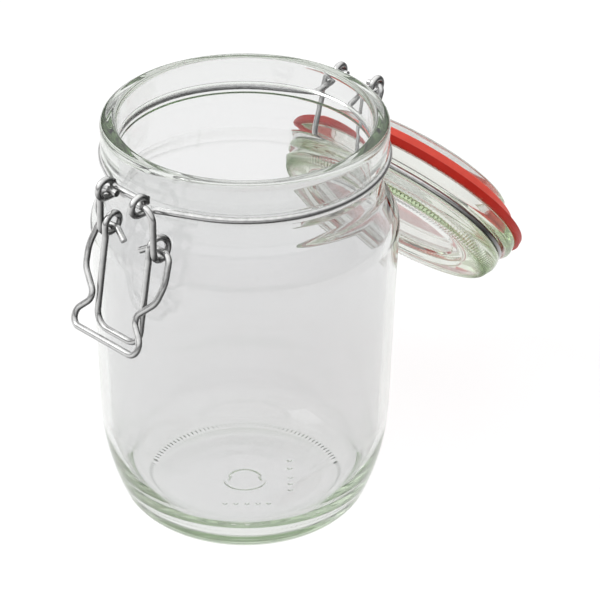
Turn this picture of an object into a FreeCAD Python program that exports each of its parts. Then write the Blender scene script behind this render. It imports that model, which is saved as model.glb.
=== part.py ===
import FreeCAD, Part
import math
import os

# Wire-bail preserving jar in millimetres, +Z up, origin at the centre of the jar's base.
# The lid's hinge is on the +Y side and turns about X.  The clamp is near the -Y side: it is
# drawn there, then swung about Z by the small angle by which the neck wire sits off square.
# The lid and its wire are drawn closed on the jar and then laid open until the lid leans on it.
# Wire radii are half the wire's thickness; each bend is measured on the wire's centre line.
# A spread or narrowing is the full difference between two spacings across the clamp.

# ---- glass jar ----
JAR_HEIGHT = 165.0
RIM_RADIUS = 54.0
RIM_WIDTH = 6.5
COLLAR_HEIGHT = 12.4
COLLAR_OVERHANG = 1.8
NECK_BEAD = 0.9
NECK_BEAD_DROP = 2.8
SHOULDER_STEP = 4.5
SHOULDER_TOP_DROP = 29.5
SHOULDER_DROP = 41.5
HEEL_INSET = 2.7
HEEL_HEIGHT = 25.7
FOOT_INSET = 9.9
FOOT_BEND = 12.0
FOOT_RING_WIDTH = 11.4
FOOT_HOLLOW_DEPTH = 1.1
WALL = 3.5
NECK_WALL = 4.1
FLOOR = 4.6

# ---- glass lid, measured from the underside of its flange ----
PLUG_CLEARANCE = 2.5
PLUG_DEPTH = 11.9
PLUG_TAPER = 5.6
PLUG_WALL = 4.4
FLANGE_INSET = 3.7
FLANGE_THICKNESS = 5.5
LID_GROOVE_WIDTH = 3.2
LID_GROOVE_DEPTH = 5.1
LID_BEAD_INSET = 2.5
LID_BEAD_HEIGHT = 3.4
LID_HEIGHT = 17.0
TOP_RING_INSET = 5.2
TOP_RING_WIDTH = 10.2
LID_RECESS = 2.2
LID_STEP = 0.8
LID_PLATE = 4.6
LEAN_GAP = 0.45

# ---- rubber ring ----
GASKET_THICKNESS = 3.0
GASKET_INSET = 2.25
GASKET_LIP_DEPTH = 4.6
GASKET_LIP_CLEARANCE = 1.0
GASKET_LIP_TAPER = 2.0
PLUG_TO_GASKET = 0.15
SEAL_GAP = 0.2

# ---- wires ----
WIRE_RADIUS = 1.28
LID_WIRE_RADIUS = 1.2
WIRE_SEAT_GAP = 0.12
HANG_GAP = 0.3
SIDE_GAP = 0.45
EYE_SPACING = 18.0
RING_LEAVE_ANGLE = 28.0
FRONT_EYE_PLAY = 1.04
FRONT_EYE_OUT = 7.7
BACK_EYE_PLAY = 0.52
BACK_EYE_OUT = 13.86
LEG_TOP_OUT = 3.4
PIN_REACH = 4.0
PIN_GAP = 0.12
CLAMP_TURN = -5.8

# ---- lever: arms, coils and hanging handle loop ----
ARM_TOP_SPREAD = 9.8
ARM_TOP_BEND = 5.0
ARM_END_SPREAD = 11.2
COIL_BEND = 4.1
COIL_DROP = 18.2
COIL_JAR_GAP = 0.3
COIL_PITCH = 3.0
COIL_HANG_GAP = 0.8
HANDLE_LENGTH = 38.6
HANDLE_TILT = 8.5
HANDLE_CORNER = 6.0
LEVER_PIN_INWARD = 0.6
LEVER_PIN_DROP = 0.05
LEVER_SIDE_PLAY = 1.5

# ---- bail: waisted loop hung in the lever's coils ----
BAIL_TOP_SPREAD = 8.2
BAIL_TOP_BEND = 4.0
BAIL_BELLY_SPREAD = 3.6
BAIL_WAIST_NARROWING = 6.8
BAIL_BAR_NARROWING = 2.8
BAIL_LENGTH = 40.5
BAIL_TILT = 24.2
BAIL_END_INSET = 2.2
BAIL_END_LENGTH = 6.0
BAIL_END_BEND = 34.0
BAIL_SIDE_PLAY = 1.3

# ---- derived radii ----
MOUTH_RADIUS = RIM_RADIUS - RIM_WIDTH
NECK_RADIUS = RIM_RADIUS - COLLAR_OVERHANG
SHOULDER_RADIUS = RIM_RADIUS + SHOULDER_STEP
HEEL_RADIUS = SHOULDER_RADIUS - HEEL_INSET
FOOT_RADIUS = HEEL_RADIUS - FOOT_INSET
FOOT_HOLLOW_RADIUS = FOOT_RADIUS - FOOT_RING_WIDTH
PLUG_RADIUS = MOUTH_RADIUS - PLUG_CLEARANCE
FLANGE_RADIUS = RIM_RADIUS - FLANGE_INSET
LID_GROOVE_RADIUS = FLANGE_RADIUS - LID_GROOVE_DEPTH
LID_BEAD_RADIUS = FLANGE_RADIUS - LID_BEAD_INSET
TOP_RING_RADIUS = FLANGE_RADIUS - TOP_RING_INSET

# ---- derived levels and places ----
RIM_CLOSED_LEVEL = JAR_HEIGHT + SEAL_GAP + GASKET_THICKNESS
COLLAR_UNDERSIDE = JAR_HEIGHT - COLLAR_HEIGHT
NECK_WIRE_LEVEL = COLLAR_UNDERSIDE - HANG_GAP - WIRE_RADIUS
NECK_WIRE_RING = NECK_RADIUS + WIRE_SEAT_GAP + WIRE_RADIUS
EYE_X = EYE_SPACING / 2
FRONT_EYE_BEND = 2 * WIRE_RADIUS + FRONT_EYE_PLAY
BACK_EYE_BEND = WIRE_RADIUS + LID_WIRE_RADIUS + BACK_EYE_PLAY
PIN_INSET = EYE_X - PIN_REACH
FRONT_EYE_Y = -(RIM_RADIUS + FRONT_EYE_OUT)
FRONT_EYE_Z = NECK_WIRE_LEVEL + FRONT_EYE_BEND
BACK_EYE_Y = RIM_RADIUS + BACK_EYE_OUT
BACK_EYE_Z = NECK_WIRE_LEVEL + BACK_EYE_BEND
LID_PIN_Z = BACK_EYE_Z + BACK_EYE_BEND - WIRE_RADIUS - LID_WIRE_RADIUS - PIN_GAP
LID_WIRE_LEVEL = FLANGE_THICKNESS + LID_GROOVE_WIDTH / 2
LID_WIRE_RING = LID_GROOVE_RADIUS + WIRE_SEAT_GAP + LID_WIRE_RADIUS
LEVER_PIN_Y = FRONT_EYE_Y + LEVER_PIN_INWARD
LEVER_PIN_Z = FRONT_EYE_Z - LEVER_PIN_DROP
ARM_TOP_SPACING = EYE_SPACING + ARM_TOP_SPREAD
ARM_END_SPACING = EYE_SPACING + ARM_END_SPREAD
COIL_INNER_X = ARM_END_SPACING / 2 - COIL_PITCH
COIL_Z = LEVER_PIN_Z - COIL_DROP + WIRE_RADIUS
COIL_Y = -(math.sqrt(NECK_RADIUS ** 2 - (COIL_INNER_X - WIRE_RADIUS - LEVER_SIDE_PLAY) ** 2)
           + COIL_JAR_GAP + WIRE_RADIUS + COIL_BEND)
BAIL_PIN_Z = COIL_Z - COIL_BEND + 2 * WIRE_RADIUS + COIL_HANG_GAP
BAIL_TOP_SPACING = ARM_END_SPACING + BAIL_TOP_SPREAD
BAIL_BELLY_SPACING = BAIL_TOP_SPACING + BAIL_BELLY_SPREAD
BAIL_WAIST_SPACING = ARM_END_SPACING - BAIL_WAIST_NARROWING
BAIL_BAR_SPACING = BAIL_TOP_SPACING - BAIL_BAR_NARROWING
BAIL_END_REACH = COIL_INNER_X - BAIL_END_INSET

X_AXIS = FreeCAD.Vector(1, 0, 0)
Z_AXIS = FreeCAD.Vector(0, 0, 1)


def vector(x, y, z):
    return FreeCAD.Vector(x, y, z)


def rounded_path(points, closed=False):
    """Edges through points of (place, bend radius): straight runs joined by tangent arcs."""
    count = len(points)
    bends = []
    for i, (place, radius) in enumerate(points):
        is_end = not closed and i in (0, count - 1)
        if is_end or radius <= 0:
            bends.append((place, None, place))
            continue
        before = (points[i - 1][0] - place).normalize()
        after = (points[(i + 1) % count][0] - place).normalize()
        half_turn = (math.pi - before.getAngle(after)) / 2
        reach = radius * math.tan(half_turn)
        middle = (before + after).normalize()
        centre = place + middle * (radius / math.cos(half_turn))
        bends.append((place + before * reach, centre - middle * radius, place + after * reach))
    edges = []
    for i, (start, middle, end) in enumerate(bends):
        if middle is not None:
            edges.append(Part.Arc(start, middle, end).toShape())
        if i == count - 1 and not closed:
            break
        following = bends[(i + 1) % count][0]
        if end.distanceToPoint(following) > 1e-4:
            edges.append(Part.makeLine(end, following))
    return edges


def lathe(outline):
    """Solid of revolution about Z from (radius, height, corner radius) points."""
    points = [(vector(r, 0, z), corner) for r, z, corner in outline]
    wire = Part.Wire(Part.__sortEdges__(rounded_path(points, closed=True)))
    return Part.Face(wire).revolve(vector(0, 0, 0), Z_AXIS, 360)


def bent_wire(points, radius):
    """Round wire of the given radius along a rounded path."""
    path = Part.Wire(rounded_path(points))
    start = path.Edges[0]
    place = start.valueAt(start.FirstParameter)
    heading = start.tangentAt(start.FirstParameter)
    section = Part.Wire(Part.makeCircle(radius, place, heading))
    return Part.Solid(path.makePipeShell([section], True, False))


def mirrored(half):
    """The route mirrored across the YZ plane and run the other way."""
    return [(vector(-place.x, place.y, place.z), radius) for place, radius in reversed(half)]


def swung(route, angle):
    """The route swung about Z."""
    swing = FreeCAD.Rotation(Z_AXIS, angle)
    return [(swing.multVec(place), radius) for place, radius in route]


def ring_points(radius, level, first, last, steps):
    """Corners whose bends of the same radius make an arc round Z; angles from -Y towards +X."""
    step = math.radians(last - first) / steps
    reach = radius / math.cos(step / 2)
    places = []
    for i in range(steps):
        angle = math.radians(first) + step * (i + 0.5)
        places.append((vector(reach * math.sin(angle), -reach * math.cos(angle), level), radius))
    return places


def tangent_reach(radius, angle, x):
    """Distance from the YZ centre where a ring's tangent, left at an angle, meets a given x."""
    turn = math.radians(angle)
    return radius * math.cos(turn) + (radius * math.sin(turn) - x) * math.tan(turn)


def jar_glass():
    shoulder_top = JAR_HEIGHT - SHOULDER_TOP_DROP
    shoulder = JAR_HEIGHT - SHOULDER_DROP
    bead_level = NECK_WIRE_LEVEL - NECK_BEAD_DROP
    inner_floor = FOOT_HOLLOW_DEPTH + FLOOR
    outline = [
        (0, FOOT_HOLLOW_DEPTH, 0),
        (FOOT_HOLLOW_RADIUS / 2, FOOT_HOLLOW_DEPTH, 200),
        (FOOT_HOLLOW_RADIUS, 0, 50),
        (FOOT_RADIUS, 0, FOOT_BEND),
        (HEEL_RADIUS, HEEL_HEIGHT, 95),
        (SHOULDER_RADIUS, shoulder, 9),
        (NECK_RADIUS, shoulder_top, 7),
        (NECK_RADIUS, bead_level - 3, 3),
        (NECK_RADIUS + NECK_BEAD, bead_level, 1),
        (NECK_RADIUS, bead_level + 1.2, 0.5),
        (NECK_RADIUS, COLLAR_UNDERSIDE, 0.6),
        (RIM_RADIUS, COLLAR_UNDERSIDE + 0.8, 0.8),
        (RIM_RADIUS, JAR_HEIGHT, 2.6),
        (MOUTH_RADIUS, JAR_HEIGHT, 2.0),
        (MOUTH_RADIUS, bead_level, 8),
        (NECK_RADIUS - NECK_WALL, shoulder_top + 2, 7),
        (SHOULDER_RADIUS - WALL, shoulder - 1, 9),
        (HEEL_RADIUS - WALL, HEEL_HEIGHT + 2, 55),
        (FOOT_RADIUS - WALL, inner_floor, 20),
        (0, inner_floor, 0),
    ]
    return lathe(outline)


def lid_outline():
    """Half section of the lid, heights from the underside of its flange."""
    recess_radius = TOP_RING_RADIUS - TOP_RING_WIDTH
    recess_level = LID_HEIGHT - LID_RECESS
    disc_level = recess_level - LID_STEP
    bead_bottom = FLANGE_THICKNESS + LID_GROOVE_WIDTH
    plug_tip = PLUG_RADIUS - PLUG_TAPER
    cavity_radius = plug_tip - PLUG_WALL
    return [
        (0, disc_level - LID_PLATE, 0),
        (cavity_radius + 1.2, disc_level - LID_PLATE, 5),
        (cavity_radius, -PLUG_DEPTH, 1.4),
        (plug_tip, -PLUG_DEPTH, 1.8),
        (PLUG_RADIUS, 0, 0.4),
        (FLANGE_RADIUS, 0, 0.9),
        (FLANGE_RADIUS, FLANGE_THICKNESS, 2.2),
        (LID_GROOVE_RADIUS, FLANGE_THICKNESS, 0.9),
        (LID_GROOVE_RADIUS, bead_bottom, 0.4),
        (LID_BEAD_RADIUS, bead_bottom, 0.7),
        (LID_BEAD_RADIUS, bead_bottom + LID_BEAD_HEIGHT, 4.0),
        (TOP_RING_RADIUS, LID_HEIGHT, 2.2),
        (recess_radius, LID_HEIGHT, 0.8),
        (recess_radius - 0.9, recess_level, 0.8),
        (recess_radius - 5, recess_level, 0.6),
        (recess_radius - 6, disc_level, 0.6),
        (0, disc_level, 0),
    ]


def lid_glass():
    return lathe(lid_outline()).translated(vector(0, 0, RIM_CLOSED_LEVEL))


def gasket():
    """Flat ring under the lid's flange, with a lip below it that hugs the plug."""
    outer = RIM_RADIUS - GASKET_INSET
    inner = PLUG_RADIUS + PLUG_TO_GASKET
    lip = MOUTH_RADIUS - GASKET_LIP_CLEARANCE
    depth = GASKET_THICKNESS + GASKET_LIP_DEPTH
    top = RIM_CLOSED_LEVEL
    bottom = top - GASKET_THICKNESS
    outline = [
        (inner - PLUG_TAPER * depth / PLUG_DEPTH, top - depth, 0.4),
        (lip - GASKET_LIP_TAPER, top - depth, 0.8),
        (lip, bottom, 0.5),
        (outer, bottom, 0.5),
        (outer, top, 0.5),
        (inner, top, 0.4),
    ]
    return lathe(outline)


def neck_wire():
    """Ring in the jar's groove with two back eyes and two front eyes joined by a bar."""
    low = NECK_WIRE_LEVEL
    back_high = low + 2 * BACK_EYE_BEND
    front_high = low + 2 * FRONT_EYE_BEND
    bar_y = FRONT_EYE_Y + FRONT_EYE_BEND
    outer_y = FRONT_EYE_Y - FRONT_EYE_BEND
    leave_y = tangent_reach(NECK_WIRE_RING, RING_LEAVE_ANGLE, EYE_X)
    back = [
        (vector(EYE_X, BACK_EYE_Y - BACK_EYE_BEND, BACK_EYE_Z), 0),
        (vector(EYE_X, BACK_EYE_Y - BACK_EYE_BEND, back_high), BACK_EYE_BEND),
        (vector(EYE_X, BACK_EYE_Y + BACK_EYE_BEND, back_high), BACK_EYE_BEND),
        (vector(EYE_X, BACK_EYE_Y + BACK_EYE_BEND, low), BACK_EYE_BEND),
        (vector(EYE_X, leave_y, low), 4.0),
    ]
    front = [
        (vector(EYE_X, -leave_y, low), 4.0),
        (vector(EYE_X, outer_y, low), FRONT_EYE_BEND),
        (vector(EYE_X, outer_y, front_high), FRONT_EYE_BEND),
        (vector(EYE_X, bar_y, front_high), FRONT_EYE_BEND),
        (vector(EYE_X, bar_y, FRONT_EYE_Z), 2.4),
    ]
    back_angle = 180 - RING_LEAVE_ANGLE
    right_angle = CLAMP_TURN + RING_LEAVE_ANGLE
    left_angle = CLAMP_TURN - RING_LEAVE_ANGLE
    route = back + ring_points(NECK_WIRE_RING, low, back_angle, right_angle, 4)
    route += swung(front + mirrored(front), CLAMP_TURN)
    route += ring_points(NECK_WIRE_RING, low, left_angle, -back_angle, 4) + mirrored(back)
    return bent_wire(route, WIRE_RADIUS)


def lid_wire():
    """Ring in the lid's groove whose ends drop to the hinge and turn in through the back eyes."""
    leg_x = EYE_X + WIRE_RADIUS + SIDE_GAP + LID_WIRE_RADIUS
    level = RIM_CLOSED_LEVEL + LID_WIRE_LEVEL
    leave_angle = 30
    leave_y = tangent_reach(LID_WIRE_RING, leave_angle, leg_x)
    half = [
        (vector(PIN_INSET, BACK_EYE_Y, LID_PIN_Z), 0),
        (vector(leg_x, BACK_EYE_Y, LID_PIN_Z), 2.4),
        (vector(leg_x, RIM_RADIUS + LEG_TOP_OUT, level), 3.0),
        (vector(leg_x, leave_y, level), 4.0),
    ]
    half += ring_points(LID_WIRE_RING, level, 180 - leave_angle, 0, 5)
    return bent_wire(half + mirrored(half), LID_WIRE_RADIUS)


def lever():
    """Pin ends in the front eyes, arms, a coil at each arm's foot, and the hanging handle."""
    corners = 6
    turn = 2 * math.pi / corners
    half = [
        (vector(PIN_INSET, LEVER_PIN_Y, LEVER_PIN_Z), 0),
        (vector(ARM_TOP_SPACING / 2, LEVER_PIN_Y, LEVER_PIN_Z), ARM_TOP_BEND),
    ]
    reach = COIL_BEND / math.cos(turn / 2)
    for i in range(corners):
        angle = math.pi + turn * (i + 0.5)
        x = ARM_END_SPACING / 2 - COIL_PITCH * (i + 0.5) / corners
        place = vector(x, COIL_Y + reach * math.cos(angle), COIL_Z + reach * math.sin(angle))
        half.append((place, COIL_BEND * 0.97))
    tilt = math.radians(HANDLE_TILT)
    foot_y = COIL_Y - COIL_BEND - HANDLE_LENGTH * math.sin(tilt)
    foot_z = COIL_Z - HANDLE_LENGTH * math.cos(tilt)
    half.append((vector(COIL_INNER_X, COIL_Y - COIL_BEND, COIL_Z - 3.5), 4.0))
    half.append((vector(COIL_INNER_X, foot_y, foot_z), HANDLE_CORNER))
    shape = bent_wire(half + mirrored(half), WIRE_RADIUS)
    return at_clamp(shape.translated(vector(LEVER_SIDE_PLAY, 0, 0)))


def bail():
    """Waisted loop drawn hanging straight down from its pin line, then swung out to its tilt."""
    belly_x = BAIL_BELLY_SPACING / 2
    waist_x = BAIL_WAIST_SPACING / 2
    bar_x = BAIL_BAR_SPACING / 2
    bend = math.radians(BAIL_END_BEND)
    end_x = BAIL_END_REACH - BAIL_END_LENGTH * math.cos(bend)
    half = [
        (vector(end_x, 0, -BAIL_END_LENGTH * math.sin(bend)), 0),
        (vector(BAIL_END_REACH, 0, 0), 2.2),
        (vector(BAIL_TOP_SPACING / 2, 0, 0), BAIL_TOP_BEND),
        (vector(belly_x, 0, -BAIL_LENGTH * 0.27), 14.0),
        (vector(belly_x - 1.5, 0, -BAIL_LENGTH * 0.46), 7.0),
        (vector(waist_x - 0.8, 0, -BAIL_LENGTH * 0.68), 4.2),
        (vector(bar_x, 0, -BAIL_LENGTH * 0.86), 5.0),
        (vector(bar_x - 0.3, 0, -BAIL_LENGTH), 3.4),
    ]
    shape = bent_wire(half + mirrored(half), WIRE_RADIUS)
    shape.rotate(vector(0, 0, 0), X_AXIS, -BAIL_TILT)
    return at_clamp(shape.translated(vector(BAIL_SIDE_PLAY, COIL_Y, BAIL_PIN_Z)))


def at_clamp(shape):
    """Swing a piece drawn at -Y round to where the clamp sits."""
    placed = shape.copy()
    placed.rotate(vector(0, 0, 0), Z_AXIS, CLAMP_TURN)
    return placed


def body_radius(level):
    """Radius of the jar's side below its shoulder."""
    shoulder = JAR_HEIGHT - SHOULDER_DROP
    share = (level - HEEL_HEIGHT) / (shoulder - HEEL_HEIGHT)
    return HEEL_RADIUS + min(share, 1) * (SHOULDER_RADIUS - HEEL_RADIUS)


def lid_clearance(angle):
    """Gap between the jar's side and the nearest lid corner when the lid is open by an angle."""
    turn = math.radians(angle)
    gaps = []
    for radius, height, _ in lid_outline():
        along = radius - BACK_EYE_Y
        above = RIM_CLOSED_LEVEL + height - LID_PIN_Z
        y = BACK_EYE_Y + along * math.cos(turn) + above * math.sin(turn)
        z = LID_PIN_Z - along * math.sin(turn) + above * math.cos(turn)
        gaps.append(y - body_radius(z))
    return min(gaps)


def open_angle():
    """Angle at which the open lid comes to lean on the jar, found by halving."""
    low = 180.0
    high = 260.0
    for _ in range(40):
        middle = (low + high) / 2
        if lid_clearance(middle) > LEAN_GAP:
            low = middle
        else:
            high = middle
    return low


def laid_open(shape):
    """Turn a closed lid piece about the hinge to where the open lid leans on the jar."""
    turned = shape.copy()
    turned.rotate(vector(0, BACK_EYE_Y, LID_PIN_Z), X_AXIS, -open_angle())
    return turned


def build():
    return {
        "jar_glass": jar_glass(),
        "neck_wire": neck_wire(),
        "lid_glass": laid_open(lid_glass()),
        "gasket": laid_open(gasket()),
        "lid_wire": laid_open(lid_wire()),
        "lever": lever(),
        "bail": bail(),
    }


os.makedirs("parts", exist_ok=True)
print("lid opens by", round(open_angle(), 3))
for node, shape in build().items():
    shape.exportStep("parts/" + node + ".step")
    print(node, "valid", shape.isValid(), "solids", len(shape.Solids), "volume", round(shape.Volume, 1))
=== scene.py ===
import math

import bmesh
import bpy
import numpy as np
from mathutils import Matrix, Vector


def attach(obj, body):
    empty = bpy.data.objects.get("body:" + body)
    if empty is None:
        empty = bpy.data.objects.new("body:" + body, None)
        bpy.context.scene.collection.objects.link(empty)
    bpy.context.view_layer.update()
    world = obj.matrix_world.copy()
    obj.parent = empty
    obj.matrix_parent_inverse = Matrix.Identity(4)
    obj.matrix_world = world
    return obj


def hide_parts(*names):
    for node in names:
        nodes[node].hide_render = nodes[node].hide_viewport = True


# Looks of the preserving jar. Outlines and marks are in the jar's own millimetres, and
# MM turns them into metres. Every other length is in metres.
MM = 0.001

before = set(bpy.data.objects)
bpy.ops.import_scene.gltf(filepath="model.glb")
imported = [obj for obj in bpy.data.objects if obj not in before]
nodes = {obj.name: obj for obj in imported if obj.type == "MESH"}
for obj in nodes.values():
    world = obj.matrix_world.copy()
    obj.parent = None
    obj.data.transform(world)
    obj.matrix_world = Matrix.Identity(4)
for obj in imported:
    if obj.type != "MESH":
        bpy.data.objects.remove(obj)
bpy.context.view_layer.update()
scene = bpy.context.scene

# The photo's direction, which the camera and the mould dots share.
VIEW_TURN = math.radians(40.0)

# ---------------------------------------------------------------- outlines
ARC_STEP = 6.0      # degrees between the points of a rounded corner
RUN_STEP = 2.6      # longest step along a straight run
WHOLE_RUN = 0.6     # a run up to this length stays in one step
EDGE_STEP = 0.12    # first and last step of a cut run, so that shading ends at its corners
SAME_POINT = 1e-5
ON_AXIS = 1e-6


def corner(previous, point, following, radius, arc_step):
    """Points that round one corner of an outline, or the corner itself where it is sharp."""
    if radius <= 0:
        return [point]
    a, b = previous - point, following - point
    a, b = a / np.linalg.norm(a), b / np.linalg.norm(b)
    between = math.acos(max(-1.0, min(1.0, float(a @ b))))
    turn = math.pi - between
    half = turn / 2
    reach = radius * math.tan(half)
    mid = (a + b) / np.linalg.norm(a + b)
    centre = point + mid * radius / math.cos(half)
    count = max(2, math.ceil(math.degrees(turn) / arc_step))
    u = (point + a * reach - centre) / radius
    v = (point + b * reach - centre) / radius
    arc = []
    for k in range(count + 1):
        t = turn * k / count
        w = (u * math.sin(turn - t) + v * math.sin(t)) / math.sin(turn)
        arc.append(centre + w * radius)
    return arc


def rounded(outline, arc_step=ARC_STEP):
    """Closed outline of (radius, height, corner radius) rows as a fine list of (r, z)."""
    points = [np.array(row[:2], float) for row in outline]
    following = points[1:] + points[:1]
    arcs = [corner(points[i - 1], points[i], following[i], outline[i][2], arc_step)
            for i in range(len(points))]
    profile = []
    for arc, next_arc in zip(arcs, arcs[1:] + arcs[:1]):
        profile += arc
        here, there = arc[-1], next_arc[0]
        gap = float(np.linalg.norm(there - here))
        if gap > WHOLE_RUN:
            edge = EDGE_STEP / gap
            steps = max(1, int(gap / RUN_STEP))
            cuts = [edge, 1 - edge]
            cuts += [edge + (1 - 2 * edge) * k / steps for k in range(1, steps)]
            profile += [here + (there - here) * cut for cut in sorted(cuts)]
    return [tuple(point) for point in profile]


def lathe(name, profile, segments, place=None, change=None):
    """Closed mesh turned about Z from a profile, moved to its place.

    A profile that starts on the axis ends there too, and any other closes on itself.
    change(r, z, angle) gives each point its own radius and height.
    """
    profile = [point for i, point in enumerate(profile)
               if i == 0 or math.dist(point, profile[i - 1]) > SAME_POINT]
    # The run along the axis that closes the outline of a solid needs no vertices.
    while profile[-2][0] < ON_AXIS:
        profile.pop()
    verts, rings, faces = [], [], []
    for r, z in profile:
        if r < ON_AXIS:
            rings.append([len(verts)] * segments)
            verts.append((0.0, 0.0, z))
            continue
        rings.append(range(len(verts), len(verts) + segments))
        for k in range(segments):
            angle = 2 * math.pi * k / segments
            ring_r, ring_z = change(r, z, angle) if change else (r, z)
            verts.append((ring_r * math.cos(angle), ring_r * math.sin(angle), ring_z))
    hollow = profile[0][0] > ON_AXIS
    for low, high in zip(rings, rings[1:] + (rings[:1] if hollow else [])):
        for k in range(segments):
            j = (k + 1) % segments
            # At the axis two corners are one point, which leaves a triangle.
            faces.append(tuple(dict.fromkeys((low[k], low[j], high[j], high[k]))))
    mesh = bpy.data.meshes.new(name)
    mesh.from_pydata([(x * MM, y * MM, z * MM) for x, y, z in verts], [], faces)
    mesh.validate()
    bm = bmesh.new()
    bm.from_mesh(mesh)
    bmesh.ops.recalc_face_normals(bm, faces=bm.faces)
    bm.to_mesh(mesh)
    bm.free()
    mesh.shade_smooth()
    if place is not None:
        mesh.transform(place)
    obj = bpy.data.objects.new(name, mesh)
    scene.collection.objects.link(obj)
    return obj


# ---------------------------------------------------------------- materials
# Sockets of the colour form of a Mix node. Its other forms use the same names.
MIX_FACTOR, MIX_A, MIX_B, MIX_RESULT = 0, 6, 7, 2


def material(name, values):
    """New material with a Principled shader whose sockets take the given values."""
    mat = bpy.data.materials.new(name)
    mat.use_nodes = True
    tree = mat.node_tree
    tree.nodes.clear()
    out = tree.nodes.new("ShaderNodeOutputMaterial")
    shader = tree.nodes.new("ShaderNodeBsdfPrincipled")
    for socket, value in values.items():
        shader.inputs[socket].default_value = value
    tree.links.new(shader.outputs["BSDF"], out.inputs["Surface"])
    return mat, tree, shader, out


def grey(value):
    return (value, value, value)


def noise(tree, scale, detail, roughness):
    """Noise fixed to the object."""
    tex = tree.nodes.new("ShaderNodeTexNoise")
    tex.inputs["Scale"].default_value = scale
    tex.inputs["Detail"].default_value = detail
    tex.inputs["Roughness"].default_value = roughness
    coord = tree.nodes.new("ShaderNodeTexCoord")
    tree.links.new(coord.outputs["Object"], tex.inputs["Vector"])
    return tex.outputs["Fac"]


def ramp(tree, source, stops):
    """Colour ramp over a value, from (position, colour) stops."""
    node = tree.nodes.new("ShaderNodeValToRGB")
    elements = node.color_ramp.elements
    while len(elements) < len(stops):
        elements.new(0.5)
    for element, (position, colour) in zip(elements, stops):
        element.position = position
        element.color = (*colour, 1)
    tree.links.new(source, node.inputs["Fac"])
    return node.outputs["Color"]


def along(tree, coordinate, direction):
    """How far one of the object's own coordinates reaches along a direction."""
    coord = tree.nodes.new("ShaderNodeTexCoord")
    dot = tree.nodes.new("ShaderNodeVectorMath")
    dot.operation = "DOT_PRODUCT"
    dot.inputs[1].default_value = direction
    tree.links.new(coord.outputs[coordinate], dot.inputs[0])
    return dot.outputs["Value"]


def mixed(tree, blend, first, second):
    """Mix node of two colours. Its factor is the caller's."""
    mix = tree.nodes.new("ShaderNodeMix")
    mix.data_type = "RGBA"
    mix.blend_type = blend
    tree.links.new(first, mix.inputs[MIX_A])
    tree.links.new(second, mix.inputs[MIX_B])
    return mix


def uneven(tree, shader, height, strength, distance):
    """Small bumps on the shader's surface."""
    bump = tree.nodes.new("ShaderNodeBump")
    bump.inputs["Strength"].default_value = strength
    bump.inputs["Distance"].default_value = distance
    tree.links.new(height, bump.inputs["Height"])
    tree.links.new(bump.outputs["Normal"], shader.inputs["Normal"])


def glass_material(name, waviness, tint, density):
    """Clear glass, faintly wavy, with a tint that deepens the further light runs in it."""
    mat, tree, shader, out = material(name, {
        "Base Color": (0.828, 0.826, 0.836, 1), "Roughness": 0.0, "IOR": 1.52,
        "Transmission Weight": 1.0})
    waves = noise(tree, scale=28.0, detail=2.0, roughness=0.4)
    uneven(tree, shader, waves, strength=waviness, distance=0.001)
    body = tree.nodes.new("ShaderNodeVolumeAbsorption")
    body.inputs["Color"].default_value = (*tint, 1)
    body.inputs["Density"].default_value = density
    tree.links.new(body.outputs["Volume"], out.inputs["Volume"])
    return mat


def steel_material():
    """Drawn steel with painted light: painted highlights and painted shade by how the wire's
    surface faces a fixed light direction, with fine streaks.
    """
    mat, tree, shader, _ = material("steel_wire", {"Metallic": 0.92})
    # Painted light: the object's normal is measured against a fixed direction up and towards
    # the front left.
    toward_painted_light = along(tree, "Normal", Vector((-0.30, -0.50, 0.80)).normalized())
    share = tree.nodes.new("ShaderNodeMath")    # -1 to 1 brought to 0 to 1
    share.operation = "MULTIPLY_ADD"
    share.inputs[1].default_value = 0.5
    share.inputs[2].default_value = 0.5
    tree.links.new(toward_painted_light, share.inputs[0])
    # Painted light and shade: light grey where the wire faces the painted light, a painted dark
    # line where it turns away, mid grey behind.
    shade = ramp(tree, share.outputs["Value"], [
        (0.20, grey(0.42)), (0.39, grey(0.03)), (0.52, grey(0.13)), (0.66, grey(0.44)),
        (0.88, grey(0.80))])
    grain = noise(tree, scale=420.0, detail=4.0, roughness=0.6)
    streak = ramp(tree, grain, [(0.3, grey(0.75)), (0.7, (1.0, 1.0, 0.99))])
    mix = mixed(tree, "MULTIPLY", shade, streak)
    mix.inputs[MIX_FACTOR].default_value = 1.0
    roughness = ramp(tree, grain, [(0.3, grey(0.16)), (0.7, grey(0.26))])
    tree.links.new(mix.outputs[MIX_RESULT], shader.inputs["Base Color"])
    tree.links.new(roughness, shader.inputs["Roughness"])
    return mat


# Half of the height over which the ring's colour turns into the lip's painted lighter colour.
LIP_BLEND = 0.2


def rubber_material(place, lip_depth):
    """Red rubber, with a painted highlight: the lip that lies deeper than the flat ring is
    painted a paler red, as if lit from above.
    """
    mat, tree, shader, _ = material("red_rubber", {
        "Roughness": 0.42, "Specular IOR Level": 0.16})
    downwards = -(place.to_3x3() @ Vector((0, 0, 1)))
    lip_start = downwards.dot(place.translation) + lip_depth
    on_lip = tree.nodes.new("ShaderNodeMapRange")
    on_lip.inputs["From Min"].default_value = lip_start - LIP_BLEND * MM
    on_lip.inputs["From Max"].default_value = lip_start + LIP_BLEND * MM
    tree.links.new(along(tree, "Object", downwards), on_lip.inputs["Value"])
    grain = noise(tree, scale=160.0, detail=4.0, roughness=0.55)
    ring = ramp(tree, grain, [(0.3, (0.34, 0.009, 0.003)), (0.7, (0.41, 0.013, 0.005))])
    # Painted highlight: a paler copy of the red stands for the lip's lit face.
    painted_lit_lip = ramp(tree, grain, [(0.3, (0.62, 0.068, 0.046)), (0.7, (0.71, 0.086, 0.058))])
    mix = mixed(tree, "MIX", ring, painted_lit_lip)
    tree.links.new(on_lip.outputs["Result"], mix.inputs[MIX_FACTOR])
    tree.links.new(mix.outputs[MIX_RESULT], shader.inputs["Base Color"])
    uneven(tree, shader, grain, strength=0.15, distance=0.0002)
    return mat


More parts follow.
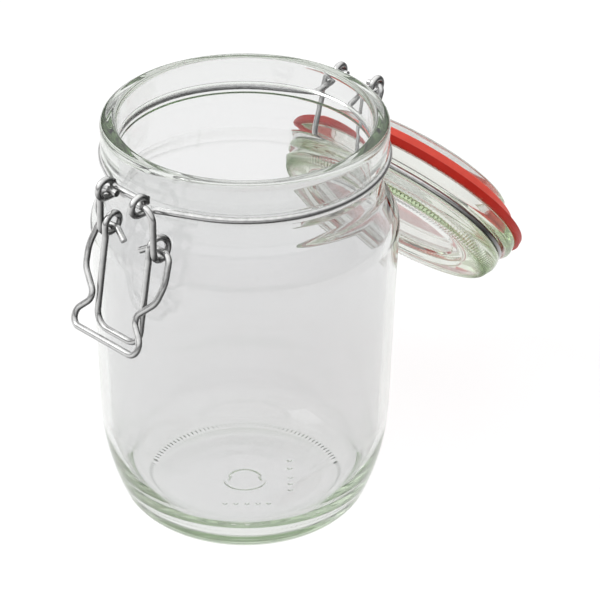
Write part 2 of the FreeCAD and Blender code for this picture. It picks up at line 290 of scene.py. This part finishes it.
def floor_material():
    """White, all but even."""
    mat, tree, shader, _ = material("studio_floor", {
        "Roughness": 0.9, "Specular IOR Level": 0.1})
    clouds = noise(tree, scale=1.5, detail=2.0, roughness=0.5)
    colour = ramp(tree, clouds, [(0.0, grey(0.90)), (1.0, grey(0.92))])
    tree.links.new(colour, shader.inputs["Base Color"])
    return mat


def dress(obj, mat, body, node, slot):
    """Give a new piece its material, and let it stand for a node of a body."""
    obj.data.materials.append(mat)
    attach(obj, body)
    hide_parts(node)
    if slot == "clear_glass":
        # The floor stays white under and through the glass.
        obj.visible_shadow = False
        obj.visible_diffuse = False


# ---------------------------------------------------------------- jar
JAR_SEGMENTS = 704
UNDERSIDE = 2.5                 # the base's marks lie below this height

# Marks on the underside: inner radius, width and depth of each.
KNURL_INNER, KNURL_WIDTH, KNURL_DEPTH, KNURLS = 38.4, 3.0, 0.34, 128
RING_INNER, RING_WIDTH, RING_DEPTH = 6.2, 2.4, 0.4
DOTS_INNER, DOTS_OUTER, DOT_RADIUS, DOT_DEPTH = 17.0, 26.0, 1.1, 0.6

# Mould dots, as (right, towards the camera): a row of five and a column of five.
ACROSS = (math.cos(VIEW_TURN), math.sin(VIEW_TURN))
DOT_ROW = [(-8.0 + 4.4 * i, 20.3) for i in range(5)]
DOT_COLUMN = [(18.0, 9.0 - 5.6 * i) for i in range(5)]

# Inner radius, outer radius and step of the bands that carry the marks.
FINE_BANDS = ((16.0, 26.5, 0.35), (5.6, 9.2, 0.4), (38.0, 42.0, 0.4))

# Outside from the middle of the base up, then inside from the rim down.
jar_outline = [
    (0, 1.1, 0),            # hollow of the base
    (17.25, 1.1, 200),
    (34.5, 0, 50),
    (45.9, 0, 12),          # foot
    (55.8, 25.7, 95),       # heel
    (58.5, 123.5, 9),       # shoulder
    (52.2, 135.5, 7),       # neck
    (52.2, 145.22, 3),
    (53.1, 148.22, 1),      # bead below the neck wire
    (52.2, 149.42, 0.5),
    (52.2, 152.6, 0.6),     # groove of the neck wire
    (54, 153.4, 0.8),       # collar
    (54, 165, 2.6),         # rim
    (47.5, 165, 2.0),       # mouth
    (47.5, 148.22, 8),
    (48.1, 137.5, 7),
    (55, 122.5, 9),
    (52.3, 27.7, 55),
    (42.4, 5.7, 20),
    (0, 5.7, 0),            # floor
]


def finer(profile, inner, outer, step):
    """Profile with its runs between two radii, on the underside, cut into shorter steps."""
    cut = [profile[0]]
    for (r0, z0), (r1, z1) in zip(profile, profile[1:]):
        if min(r0, r1) < outer and max(r0, r1) > inner and max(z0, z1) < UNDERSIDE:
            count = max(1, math.ceil(math.hypot(r1 - r0, z1 - z0) / step))
            cut += [(r0 + (r1 - r0) * k / count, z0 + (z1 - z0) * k / count)
                    for k in range(1, count)]
        cut.append((r1, z1))
    return cut


def swell(r, inner, width):
    """Rise and fall across a band of the base."""
    return math.sin((r - inner) / width * math.pi)


def base_marks(r, z, angle):
    """Knurled line round the bearing ring, a plain embossed ring and two rows of mould dots."""
    if z > UNDERSIDE:
        return r, z
    if KNURL_INNER < r < KNURL_INNER + KNURL_WIDTH:
        tooth = (0.5 - 0.5 * math.cos(KNURLS * angle)) ** 2
        return r, z + KNURL_DEPTH * tooth * swell(r, KNURL_INNER, KNURL_WIDTH)
    if RING_INNER < r < RING_INNER + RING_WIDTH:
        return r, z - RING_DEPTH * swell(r, RING_INNER, RING_WIDTH)
    if DOTS_INNER < r < DOTS_OUTER:
        x, y = r * math.cos(angle), r * math.sin(angle)
        right = x * ACROSS[0] + y * ACROSS[1]
        towards = x * ACROSS[1] - y * ACROSS[0]
        near = min(math.hypot(right - u, towards - v) for u, v in DOT_ROW + DOT_COLUMN)
        if near < DOT_RADIUS:
            return r, z - DOT_DEPTH * math.cos(near / DOT_RADIUS * math.pi / 2)
    return r, z


jar_profile = rounded(jar_outline)
for inner, outer, step in FINE_BANDS:
    jar_profile = finer(jar_profile, inner, outer, step)
jar = lathe("jar_glass_fine", jar_profile, JAR_SEGMENTS, change=base_marks)
jar_glass = glass_material("clear_glass", waviness=0.12, tint=(0.58, 0.70, 0.50), density=12.0)
dress(jar, jar_glass, "jar", "jar_glass", "clear_glass")

# ---------------------------------------------------------------- lid
LID_SEGMENTS = 1080
LID_OPEN = math.radians(230.206)            # from closed to the photo's pose
HINGE = Vector((0, 67.86, 154.42)) * MM
LID_CLOSED = Vector((0, 0, 168.2)) * MM     # underside of the flange on the closed jar
lid_place = (Matrix.Translation(HINGE) @ Matrix.Rotation(-LID_OPEN, 4, "X")
             @ Matrix.Translation(LID_CLOSED - HINGE))

# Ribs on the top ring: where they start, how far they take to reach their full depth, and
# the share of it that goes each way.
RIBS, RIB_DEPTH, RIB_SHARE = 160, 0.27, 0.7
RIB_FOOT, RIB_FOOT_FADE = 13.8, 1.0
RIB_INNER, RIB_INNER_FADE = 41.5, 1.2

# Heights from the underside of the flange. First the underside from the middle out, then
# the top from the edge in.
lid_outline = [
    (0, 9.4, 0),            # hollow inside the plug
    (36.2, 9.4, 5),
    (35.0, -11.9, 1.4),
    (39.4, -11.9, 1.8),     # plug
    (45.0, 0, 0.4),
    (50.3, 0, 0.9),         # flange
    (50.3, 5.5, 2.2),
    (45.2, 5.5, 0.9),       # groove of the lid wire
    (45.2, 8.7, 0.4),
    (47.8, 8.7, 0.7),       # bead
    (47.8, 12.1, 4.0),
    (45.1, 17.0, 2.2),      # top ring
    (34.9, 17.0, 0.8),
    (34.0, 14.8, 0.8),      # recess
    (29.9, 14.8, 0.6),
    (28.9, 14.0, 0.6),      # disc
    (0, 14.0, 0),
]


def ribs(r, z, angle):
    """Fine ribs across the outer edge of the lid's top ring."""
    if z > RIB_FOOT and r > RIB_INNER:
        fade = min(1, (z - RIB_FOOT) / RIB_FOOT_FADE, (r - RIB_INNER) / RIB_INNER_FADE)
        depth = RIB_DEPTH * (0.5 - 0.5 * math.cos(RIBS * angle)) * fade
        return r - depth * RIB_SHARE, z - depth * RIB_SHARE
    return r, z


lid = lathe("lid_glass_fine", rounded(lid_outline), LID_SEGMENTS, place=lid_place, change=ribs)
lid_glass = glass_material("clear_glass_lid", waviness=0.08, tint=(0.60, 0.78, 0.38),
                           density=11.0)
dress(lid, lid_glass, "lid", "lid_glass", "clear_glass")

# ---------------------------------------------------------------- gasket
GASKET_SEGMENTS = 256
GASKET_ARC_STEP = 15
LIP_DEPTH = 3       # below the flange, where the flat ring ends and the lip starts

gasket_outline = [
    (41.6, -7.6, 0.4),      # lip
    (44.5, -7.6, 0.8),
    (46.5, -3, 0.5),
    (51.75, -3, 0.5),       # flat ring
    (51.75, -0.04, 0.5),
    (45.16, -0.04, 0.4),
]
gasket = lathe("gasket_fine", rounded(gasket_outline, GASKET_ARC_STEP), GASKET_SEGMENTS,
               place=lid_place)
dress(gasket, rubber_material(lid_place, LIP_DEPTH * MM), "lid", "gasket", "red_rubber")

# ---------------------------------------------------------------- wires
steel = steel_material()
for n in ("neck_wire", "lid_wire", "lever", "bail"):
    nodes[n].data.materials.clear()
    nodes[n].data.materials.append(steel)
    nodes[n].data.shade_smooth()

# ---------------------------------------------------------------- studio
FLOOR_REACH = 12.0
FLOOR_DROP = 0.0002     # clear of the jar's foot

floor_mesh = bpy.data.meshes.new("floor")
floor_mesh.from_pydata([(-FLOOR_REACH, -FLOOR_REACH, 0), (FLOOR_REACH, -FLOOR_REACH, 0),
                        (FLOOR_REACH, FLOOR_REACH, 0), (-FLOOR_REACH, FLOOR_REACH, 0)],
                       [], [(0, 1, 2, 3)])
floor_mesh.materials.append(floor_material())
floor = bpy.data.objects.new("floor", floor_mesh)
floor.location.z = -FLOOR_DROP
scene.collection.objects.link(floor)

# Sky that is dim at the horizon and white above.
world = bpy.data.worlds.new("studio")
scene.world = world
world.use_nodes = True
sky_tree = world.node_tree
sky_tree.nodes.clear()
sky_out = sky_tree.nodes.new("ShaderNodeOutputWorld")
background = sky_tree.nodes.new("ShaderNodeBackground")
coord = sky_tree.nodes.new("ShaderNodeTexCoord")
height = sky_tree.nodes.new("ShaderNodeSeparateXYZ")
sky_tree.links.new(coord.outputs["Generated"], height.inputs["Vector"])
sky = ramp(sky_tree, height.outputs["Z"], [
    (0.0, grey(0.16)), (0.16, grey(0.30)), (0.44, grey(1.0))])
sky_tree.links.new(sky, background.inputs["Color"])
background.inputs["Strength"].default_value = 1.18
sky_tree.links.new(background.outputs["Background"], sky_out.inputs["Surface"])

# One soft light from the front left, aimed at the middle of the jar.
KEY_PLACE = Vector((-0.9, -0.9, 1.5))
KEY_TARGET = Vector((0, 0, 0.1))

key_light = bpy.data.lights.new("key", "AREA")
key_light.shape = "SQUARE"
key_light.size = 0.8
key_light.energy = 5
key = bpy.data.objects.new("key", key_light)
key.location = KEY_PLACE
key.rotation_euler = (KEY_TARGET - KEY_PLACE).to_track_quat("-Z", "Y").to_euler()
scene.collection.objects.link(key)

# The photo's camera.
CAMERA_REACH = 1.0249   # from the jar's axis, level
CAMERA_HEIGHT = 0.7041
CAMERA_DOWN = 31.11     # degrees below level

camera_data = bpy.data.cameras.new("camera")
camera_data.sensor_width = 36.0
camera_data.lens = 187.3
camera_data.shift_x = 0.0917
camera_data.clip_start = 0.05
camera_data.clip_end = 60.0
camera = bpy.data.objects.new("camera", camera_data)
camera.location = (CAMERA_REACH * math.sin(VIEW_TURN), -CAMERA_REACH * math.cos(VIEW_TURN),
                   CAMERA_HEIGHT)
camera.rotation_euler = (math.radians(90 - CAMERA_DOWN), 0, VIEW_TURN)
scene.collection.objects.link(camera)
scene.camera = camera

scene.view_settings.view_transform = "Standard"

# Light runs far inside thick glass before it leaves, so the paths are let run as far.
paths = scene.cycles
paths.max_bounces = 32
paths.transmission_bounces = 32
paths.glossy_bounces = 24
